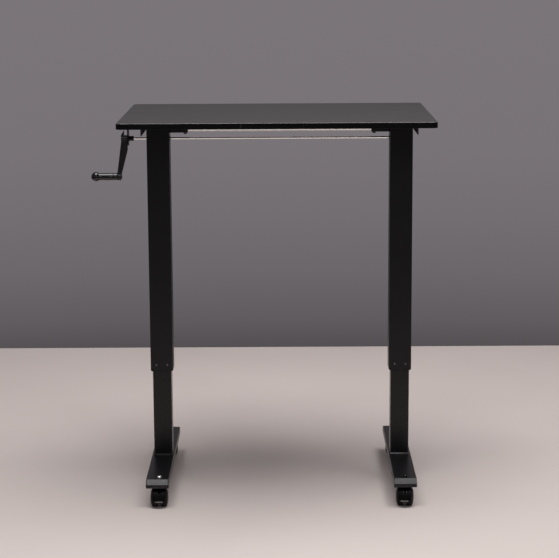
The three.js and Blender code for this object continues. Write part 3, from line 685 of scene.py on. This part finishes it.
def build_crossbeam():
    low, high = span("crossbeam_rail")
    mid = (low + high) / 2
    rail = tube("crossbeam_rail_tube", "x", (mid.y, mid.z), high.y - low.y, high.z - low.z,
                RAIL_CORNER, TUBE_WALL, low.x, high.x, steps=10)
    dress(rail, "top_frame", "bright_zinc", ZINC, "crossbeam_rail")
    for side, s in SIDES.items():
        name = f"{side}_crossbeam_channel"
        low, high = span(name)
        front, rear, floor_z = low.y + SHEET / 2, high.y - SHEET / 2, low.z + SHEET / 2
        sheet = [(front, high.z), (front, floor_z), (rear, floor_z), (rear, high.z)]
        outline = folded(sheet, SHEET, 2.2 * MM)
        run = extruded(name, "x", outline, low.x, high.x, SHEET_EDGE, 2, sharp=50)
        wall = (high.x - SHEET, high.x) if s > 0 else (low.x, low.x + SHEET)
        end = slab(name + "_end", (wall[0], low.y, low.z), (wall[1], high.y, high.z), 2.6 * MM,
                   0.4 * MM, "x")
        dress(merged(name + "_sheet", [run, end]), "top_frame", "black_powder_coat", COAT, name)
        build_clamp_screw(f"{side}_clamp_screw")


def build_outer_tube(side):
    name = f"{side}_outer_tube"
    low, high = span(name)
    mid = (low + high) / 2
    shaft_z = centre("drive_shaft").z
    shell = tube(name, "z", (mid.x, mid.y), high.x - low.x, high.y - low.y, 3 * MM, TUBE_WALL,
                 low.z, high.z, steps=8)
    past = 50 * MM
    bore_end = mid.x + past if side == "left" else mid.x
    cutters = [cylinder("bore", "x", (0, shaft_z), 6 * MM, mid.x - past, bore_end)]
    for which in ("outer", "inner"):
        spot = centre(f"{side}_glide_screw_{which}")
        cutters.append(cylinder("hole", "y", (spot.x, spot.z), 2.1 * MM, low.y - MM, low.y + 3 * MM, 20))
    dress(boolean(shell, cutters), "top_frame", "black_powder_coat", COAT, name)
    faces = [high.x] if side == "left" else [low.x]
    if side == "left":
        faces.append(low.x)
    for i, x in enumerate(faces):
        way = 1 if x == high.x else -1
        at = [x + way * t * MM for t in (-2.4, -1.5, 0.15, 0.7, 1.2, 1.2, 0.9, -2.4)]
        radii = [r * MM for r in (5.6, 5.6, 5.7, 8.2, 7.8, 4.6, 4.1, 4.1)]
        ring = lathe(f"{name}_bushing_{i + 1}", "x", (0, shaft_z), list(zip(radii, at)), 36)
        dress(ring, "top_frame", "black_plastic", BLACK_PLASTIC)


def build_lower_glide(side):
    name = f"{side}_lower_glide"
    low, high = span(name)
    mid = (low + high) / 2
    mouth = span(f"{side}_outer_tube")[0].z
    sleeve = tube("sleeve", "z", (mid.x, mid.y), high.x - low.x, high.y - low.y, 1.2 * MM, 3.2 * MM,
                  mouth - 0.8 * MM, high.z)
    flange_size = 58.6 * MM
    flange = tube("flange", "z", (mid.x, mid.y), flange_size, flange_size, 2 * MM, 2.9 * MM,
                  low.z, mouth - 0.3 * MM, lip=0.5 * MM)
    dress(merged(name + "_collar", [sleeve, flange]), "top_frame", "black_plastic", CAP_PLASTIC, name)
    for which in ("outer", "inner"):
        screw = f"{side}_glide_screw_{which}"
        spot, tip = centre(screw), span(screw)[1].y
        face = span(f"{side}_outer_tube")[0].y
        head = pan_head(screw + "_head", (spot.x, face, spot.z), 3.2 * MM, 1.6 * MM)
        shank = cylinder("shank", "y", (spot.x, spot.z), 1.7 * MM, face - 0.2 * MM, tip, 20)
        dress(merged(screw + "_cross", [head, shank]), "top_frame", "black_fastener", GREY_SCREW, screw)


# ---- Drive and crank ----

def build_shaft():
    low, high = span("drive_shaft")
    mid = (low + high) / 2
    corner = (high.z - low.z) / 2 / math.cos(math.radians(30))
    rod = extruded("drive_shaft_rod", "x", hexagon(corner, mid.y, mid.z), low.x, high.x, 0.35 * MM, 2)
    dress(rod, "crank", "polished_steel", ROD_STEEL, "drive_shaft")
    low, high = span("shaft_coupler")
    mid = (low + high) / 2
    r = (high.z - low.z) / 2
    profile = [(3.7 * MM, low.x), (r - 0.8 * MM, low.x), (r, low.x + 0.8 * MM), (r, mid.x - 1.2 * MM),
               (r - 0.7 * MM, mid.x - 0.6 * MM), (r - 0.7 * MM, mid.x + 0.6 * MM), (r, mid.x + 1.2 * MM),
               (r, high.x - 0.8 * MM), (r - 0.8 * MM, high.x), (3.7 * MM, high.x)]
    collar = lathe("shaft_coupler_collar", "x", (mid.y, mid.z), profile, 40)
    holes = [cylinder("hole", "y", (x, mid.z), 1.5 * MM, mid.y - 9 * MM, mid.y - 4.6 * MM, 20)
             for x in (low.x + 3.2 * MM, high.x - 3.2 * MM)]
    dress(boolean(collar, holes), "crank", "black_fastener", BLACK_OXIDE, "shaft_coupler")


def build_hanger():
    low, high = span("crank_hanger")
    shaft_z = centre("drive_shaft").z
    right, edge = low.x + 3.5 * MM, 0.5 * MM
    plate = slab("plate", low, (right, high.y, high.z - MM), 8 * MM, edge, "x", 8)
    upper = slab("upper", (low.x, low.y, high.z - 14 * MM), (right, high.y, high.z), 1.2 * MM, edge, "x")
    flange = slab("flange", (low.x, low.y, high.z - 3 * MM), high, 3.5 * MM, edge, "z", 8)
    bore = cylinder("bore", "x", (0, shaft_z), 4.4 * MM, low.x - MM, low.x + 6 * MM, 32)
    bracket = merged("crank_hanger_bracket", [boolean(plate, [bore]), upper, flange])
    dress(bracket, "top_frame", "black_powder_coat", COAT, "crank_hanger")
    for i, y in enumerate((-8 * MM, 8 * MM)):
        spot = (low.x + 20 * MM, y, high.z - 3 * MM)
        dress(pan_head(f"crank_hanger_screw_{i + 1}", spot, 3.6 * MM, 1.8 * MM, -1, "z"), "top_frame",
              "black_fastener", BLACK_OXIDE)


def collar(name, middle, bore, radius, start, end, soft, segments):
    """A ring along X, its outer rims cut back at 45 degrees."""
    profile = [(bore, start), (radius - soft, start), (radius, start + soft), (radius, end - soft),
               (radius - soft, end), (bore, end)]
    return lathe(name, "x", middle, profile, segments)


def build_crank_arm():
    (left, _, _), (right, _, _) = span("crank_arm")
    shaft_z = centre("drive_shaft").z
    grip_z = centre("crank_grip").z
    boss_right = span("grip_axle")[1].x - 2.4 * MM
    foot_z = grip_z - 8.5 * MM
    width = 16 * MM

    def height(drop):
        return top_high.z - drop * MM

    def at(x, drop):
        """Millimetres from the middle plane between the columns, and below the tabletop's upper face."""
        return middle_x + x * MM, height(drop)

    outline = [(right, height(60.4)), at(-432.3, 60.4), at(-432.1, 46.5), at(-440.4, 60), at(-439.9, 76.5),
               at(-450.3, 152), (left, height(167)), (left, foot_z), (boss_right, foot_z),
               (boss_right, height(173)), at(-435, 148), (right, height(101))]
    arm = extruded("arm", "y", outline, -width / 2, width / 2, 1.1 * MM, 3)
    pocket = [at(-436.6, 84), at(-428.4, 86), at(-426.2, 98), at(-437.4, 145), at(-441.1, 158),
              at(-447.6, 158), at(-446.6, 146), at(-437.5, 92)]
    floor_y, open_y = 5.6 * MM, 9 * MM
    arm = boolean(arm, [extruded("pocket", "y", pocket, -open_y, -floor_y),
                        extruded("pocket", "y", pocket, floor_y, open_y)])
    slant = [at(-433.4, 86), at(-432.0, 86), at(-444.0, 155), at(-445.2, 155)]
    rib = extruded("rib", "y", slant, -7.2 * MM, 7.2 * MM, 0.4 * MM, 2)
    hub_left = middle_x - 440.2 * MM
    hub = collar("hub", (0, shaft_z), 3.7 * MM, 9.2 * MM, hub_left, right, 0.8 * MM, 40)
    boss = collar("boss", (0, grip_z), 3.6 * MM, 10.2 * MM, left, boss_right, 0.7 * MM, 44)
    moulding = merged("crank_arm_moulding", [arm, rib, hub, boss])
    dress(moulding, "crank", "black_plastic", ARM_PLASTIC, "crank_arm")


def build_grip():
    low, high = span("crank_grip")
    start, end = high.x, low.x
    z = (low.z + high.z) / 2
    r, ball = 10.2 * MM, (high.z - low.z) / 2
    ball_x = end + ball
    groove = start - 12 * MM
    profile = [(3.6 * MM, start),
               (r - 0.9 * MM, start), (r - 0.25 * MM, start - 0.3 * MM), (r, start - 0.9 * MM),
               (r, start - 9.3 * MM), (r - 0.5 * MM, start - 9.9 * MM), (r - 1.3 * MM, start - 10.2 * MM),
               (r - 1.3 * MM, start - 10.9 * MM), (r - 0.4 * MM, start - 11.3 * MM), (r, groove)]
    waist = ball_x + ball * 0.95 + 4 * MM
    for i in range(1, 8):
        t = i / 8
        profile.append((r + 0.25 * MM * math.sin(math.pi * t), groove + (waist - groove) * t))
    profile.append((r, waist))
    join = math.acos(r / ball)
    profile.append((r + 0.25 * MM, ball_x + ball * math.sin(join) + 1.2 * MM))
    for i in range(13):
        angle = join * 0.85 - (join * 0.85 + math.radians(70)) * i / 12
        profile.append((ball * math.cos(angle), ball_x + ball * math.sin(angle)))
    tip = end + 0.9 * MM
    profile += [(4.4 * MM, tip), (3.9 * MM, end + 0.5 * MM), (3.5 * MM, tip), (0, tip)]
    grip = lathe("crank_grip_handle", "x", (0, z), [(0, start), *profile], 64)
    dress(grip, "grip", "gloss_black_plastic", GLOSS_PLASTIC, "crank_grip")


# ---- Legs ----

def build_leg(side):
    body = f"{side}_leg"
    name = f"{side}_inner_tube"
    low, high = span(name)
    mid = (low + high) / 2
    inner = tube(name + "_stage", "z", (mid.x, mid.y), high.x - low.x, high.y - low.y, 2.5 * MM, TUBE_WALL,
                 low.z, high.z, steps=8)
    dress(inner, body, "black_powder_coat", SLIDING_COAT, name)
    name = f"{side}_base_plate"
    p_low, p_high = span(name)
    plate = slab(name + "_pad", p_low, p_high, 2 * MM, 1.1 * MM, "z", 5)
    dress(plate, body, "black_powder_coat", SLIDING_COAT, name)
    if side == "right":  # painted highlight: this plate's front edge is coloured light grey in place of a glint
        plate.data.materials.append(PAINTED_GLINT)
        for face in plate.data.polygons:
            if face.normal.y < -0.25 and face.normal.z > 0.25:
                face.material_index = 1
    on_plate = p_high.z + 0.2 * MM
    on_foot = span(f"{side}_foot_beam")[1].z + 0.3 * MM
    seams = []
    for i, (y, z, inward, radius) in enumerate((
            (low.y - 0.5 * MM, on_plate, 3.5, 1.5), (high.y + 0.5 * MM, on_plate, 3.5, 1.5),
            (p_low.y - 0.3 * MM, on_foot, 4, 1.3), (p_high.y + 0.3 * MM, on_foot, 4, 1.3))):
        ends = (low.x + inward * MM, y, z), (high.x - inward * MM, y, z)
        seams.append(seam(f"seam{i}", *ends, radius * MM))
    dress(merged(f"{side}_weld_beads", seams), body, "black_powder_coat", COAT)


def build_foot(side):
    body = f"{side}_leg"
    name = f"{side}_foot_beam"
    low, high = span(name)
    mid = (low + high) / 2
    kink = high.z - FOOT_SLOPE
    lip_depth = 2.2 * MM

    def loop(inward, which, back=0.0):
        """A section's outline, pushed to one end and along the slope that the end has above the kink."""
        w, h = high.x - low.x - 2 * inward, high.z - low.z - 2 * inward
        points = []
        for u, v in rounded(w, h, max(1.6 * MM - inward, 0.5 * MM), 5):
            points.append((mid.x + u, mid.z + v))
        ring = []
        for i, point in enumerate(points):
            ring.append(point)
            after = points[(i + 1) % len(points)]
            if (point[1] - kink) * (after[1] - kink) < 0:
                ring.append((point[0], kink))
        found = []
        for x, z in ring:
            slope = max(0.0, z - kink)
            if z > high.z - lip_depth - 0.2 * MM:
                slope = FOOT_SLOPE + lip_depth
            y = low.y + slope + back if which < 0 else high.y - slope - back
            found.append((x, y, z))
        return found

    soft, wall = 0.4 * MM, 2 * MM
    loops = [loop(soft, -1), loop(0, -1, soft), loop(0, 1, soft), loop(soft, 1),
             loop(wall - soft, 1), loop(wall, 1, soft), loop(wall, -1, soft), loop(wall - soft, -1)]
    beam = loft(name + "_tube", loops, ring=True, smooth_angle=25)
    dress(beam, body, "black_powder_coat", FOOT_COAT, name)
    for end in ("front", "rear"):
        name = f"{side}_{end}_end_cap"
        c_low, c_high = span(name)
        sign = 1 if end == "front" else -1
        face = c_low.y if end == "front" else c_high.y
        back = c_high.y if end == "front" else c_low.y
        crest = face + sign * FOOT_SLOPE
        lip = crest + sign * 2 * MM
        outline = [(back, c_low.z), (face, c_low.z), (face, kink), (crest, high.z), (lip, high.z),
                   (lip, c_high.z), (back, c_high.z)]
        plug = extruded(name + "_plug", "x", outline, c_low.x, c_high.x, 0.4 * MM, 2)
        dress(plug, body, "black_plastic", CAP_PLASTIC, name)


def build_stem(name):
    body = ("left" if "left" in name else "right") + "_leg"
    node = f"{name}_caster_stem"
    low, high = span(node)
    mid = (low + high) / 2
    foot_low, foot_high = span(body.replace("_leg", "_foot_beam"))
    r, dome = 6.5 * MM, 5 * MM
    shank, washer = 4 * MM, 8 * MM
    base = foot_high.z + 0.3 * MM
    under = foot_low.z
    rim = high.z - dome
    profile = [(0, low.z), (3.4 * MM, low.z), (shank, low.z + 0.8 * MM), (shank, under - 1.1 * MM),
               (washer - 0.3 * MM, under - 1.1 * MM), (washer, under - 0.7 * MM),
               (washer - 0.3 * MM, under - 0.3 * MM), (shank, under - 0.3 * MM), (shank, base),
               (r - 0.2 * MM, base), (r, base + 0.25 * MM), (r, rim)]
    for i in range(1, 9):
        angle = math.pi / 2 * i / 9
        profile.append((r * math.cos(angle), rim + dome * math.sin(angle)))
    profile.append((0, high.z))
    chrome = name == "front_left"
    dress(lathe(node + "_nut", "z", (mid.x, mid.y), profile, 40, smooth_angle=40), body,
          "chrome_nut" if chrome else "black_fastener", CHROME if chrome else BLACK_OXIDE, node)


# ---- Casters ----
# Each caster is built with its stem on the z axis and its wheels trailing towards -y, then set in place.

TRAIL, WHEEL = 8 * MM, 25 * MM


def ring_sector(name, inside, outside, start, end, half_width, edge=0.0):
    """A ring sector round the wheel axle; angles rise from the trailing side."""
    steps = max(3, round((end - start) / 6))

    def arc(radius, first, last):
        turns = [math.radians(first + (last - first) * i / steps) for i in range(steps + 1)]
        return [(-TRAIL - radius * math.cos(turn), WHEEL + radius * math.sin(turn)) for turn in turns]

    outline = arc(outside, start, end) + arc(inside, end, start)
    return extruded(name, "x", outline, -half_width, half_width, edge, 2, sharp=40)


def build_hood(name, place):
    cover = ring_sector("cover", 26 * MM, 27.6 * MM, -10, 165, 17.5 * MM, 0.6 * MM)
    recess = ring_sector("recess", 20 * MM, 32 * MM, 52, 98, 14.8 * MM)
    cover = boolean(cover, [recess, pedal_slot()])
    brow = ring_sector("brow", 25.6 * MM, 28 * MM, 48, 52, 15.2 * MM, 0.5 * MM)
    brow = boolean(brow, [pedal_slot()])
    web = ring_sector("web", 6 * MM, 26.4 * MM, 64, 165, 2.7 * MM, 0.4 * MM)
    bore, r, half, soft = 3.8 * MM, 18 * MM, 2.7 * MM, 0.5 * MM
    disc = lathe("disc", "x", (-TRAIL, WHEEL), [
        (bore, -half), (r - 0.6 * MM, -half), (r, -half + soft), (r, half - soft), (r - 0.6 * MM, half),
        (bore, half)], 40)
    disc = boolean(disc, [cylinder("bore", "z", (0, 0), 4.5 * MM, 28 * MM, 60 * MM, 24)])
    top = span(f"{name}_caster_hood")[1].z
    bore, r = 4.4 * MM, 6.5 * MM
    neck = lathe("neck", "z", (0, 0), [
        (bore, 50 * MM), (r - 0.2 * MM, 50 * MM), (r, 51 * MM), (r, top - 0.6 * MM), (r - 0.5 * MM, top),
        (bore, top)], 36)
    hood = merged(f"{name}_hood_shell", [cover, brow, web, disc, neck])
    hood.data.transform(place)
    dress(hood, f"{name}_fork", "black_plastic", BLACK_PLASTIC, f"{name}_caster_hood")


def pedal_slot():
    """The cutter for the slot that lets the brake pedal's arms pass through the hood."""
    return ring_sector("slot", 20 * MM, 32 * MM, -30, 60, 4.9 * MM)


def build_wheels(name, place):
    """Two wheels with a flat inner face, a rounded tread and a domed outer face with two grooves."""
    inner, outer = 4.9, 24.5
    face = [(radius, inner + x) for radius, x in ((4.9, 0), (23.3, 0), (24.4, 0.35), (24.9, 1.1), (25, 2.2))]
    face += [(25, outer - 8.6), (24.85, outer - 7.6)]
    dome = [(24.3, 6.2), (23.0, 4.6), (21.0, 3.3), (18.6, 2.3), (17.6, 2.05), (17.2, 2.5), (16.7, 1.9),
            (14, 1.2), (11, 0.75), (8, 0.5), (7.4, 0.85), (6.9, 0.42), (4, 0.2), (0, 0)]
    face += [(radius, outer - back) for radius, back in dome]
    profile = [(radius * MM, -x * MM) for radius, x in reversed(face)]
    profile += [(radius * MM, x * MM) for radius, x in face]
    wheels = lathe(f"{name}_wheel_pair", "x", (-TRAIL, WHEEL), profile, 72, smooth_angle=32)
    tread = 24.2 * MM
    marks = []
    for polygon in wheels.data.polygons:
        _, y, z = polygon.center
        marks.append(1 if math.hypot(y + TRAIL, z - WHEEL) > tread else 0)
    wheels.data.transform(place)
    dress(wheels, f"{name}_wheels", "wheel_plastic", WHEEL_PLASTIC, f"{name}_caster_wheels")
    wheels.data.materials.append(TREAD)
    wheels.data.polygons.foreach_set("material_index", marks)


def build_pedal(name, place):
    shell = ring_sector("shell", 28 * MM, 29.8 * MM, -16, 36, 11 * MM, 0.5 * MM)
    ribs = [ring_sector("rib", 29.2 * MM, 30.2 * MM, turn, turn + 2.2, 8.5 * MM, 0.3 * MM)
            for turn in (8, 14, 20, 26)]
    lip = ring_sector("lip", 28.4 * MM, 31.2 * MM, -13, -7.5, 10.5 * MM, 0.45 * MM)
    for polygon in lip.data.polygons:
        polygon.material_index = 1
    arms = []
    half, bore, eye_radius, aside = 0.7 * MM, 3.7 * MM, 7 * MM, 3.8 * MM
    for s in (-1, 1):
        spoke = ring_sector("spoke", 5 * MM, 28.6 * MM, -12, 20, half, 0.2 * MM)
        ring = [(bore, -half), (eye_radius, -half), (eye_radius, half), (bore, half)]
        eye = lathe("eye", "x", (-TRAIL, WHEEL), ring, 32)
        for piece in (spoke, eye):
            piece.data.transform(Matrix.Translation((s * aside, 0, 0)))
            arms.append(piece)
    pedal = merged(f"{name}_brake_pedal", [shell, *ribs, *arms, lip])
    pedal.data.transform(place)
    marks = [polygon.material_index for polygon in pedal.data.polygons]
    dress(pedal, f"{name}_brake", "black_plastic", BLACK_PLASTIC, f"{name}_brake_lever")
    pedal.data.materials.append(PALE_MARK)
    pedal.data.polygons.foreach_set("material_index", marks)


def build_caster(name):
    swivel, roll = joints[f"{name}_swivel"], joints[f"{name}_roll"]
    turn = math.atan2(roll["axis"][1], roll["axis"][0])
    place = Matrix.Translation((*swivel["pos_m"][:2], 0)) @ Matrix.Rotation(turn, 4, "Z")
    build_hood(name, place)
    build_wheels(name, place)
    build_pedal(name, place)


# ---- Assembly ----

build_tabletop()
build_crossbeam()
build_shaft()
build_hanger()
build_crank_arm()
build_grip()
for side in SIDES:
    build_side_arm(side)
    build_outer_tube(side)
    build_lower_glide(side)
    build_leg(side)
    build_foot(side)
for name in CASTERS:
    build_stem(name)
    build_caster(name)
add_camera()
add_light()

floor_outline = rounded(2 * FLOOR_HALF, 2 * FLOOR_HALF, FLOOR_CORNER, 16)
floor_loops = [[(u, v, z) for u, v in floor_outline] for z in FLOOR_HEIGHTS]
floor = loft("floor", floor_loops)
floor.data.materials.append(pale_floor())

sealed = {"gearbox_frame": DARK_STEEL, "drive_bevel": DARK_STEEL, "driven_bevel": DARK_STEEL,
          "lead_screw": ROD_STEEL, "upper_glide": NATURAL_PLASTIC, "lead_nut": NATURAL_PLASTIC}
for node, material in sealed.items():
    for side in SIDES:
        paint_node(f"{side}_{node}", material)
paint_node("grip_axle", DARK_STEEL)
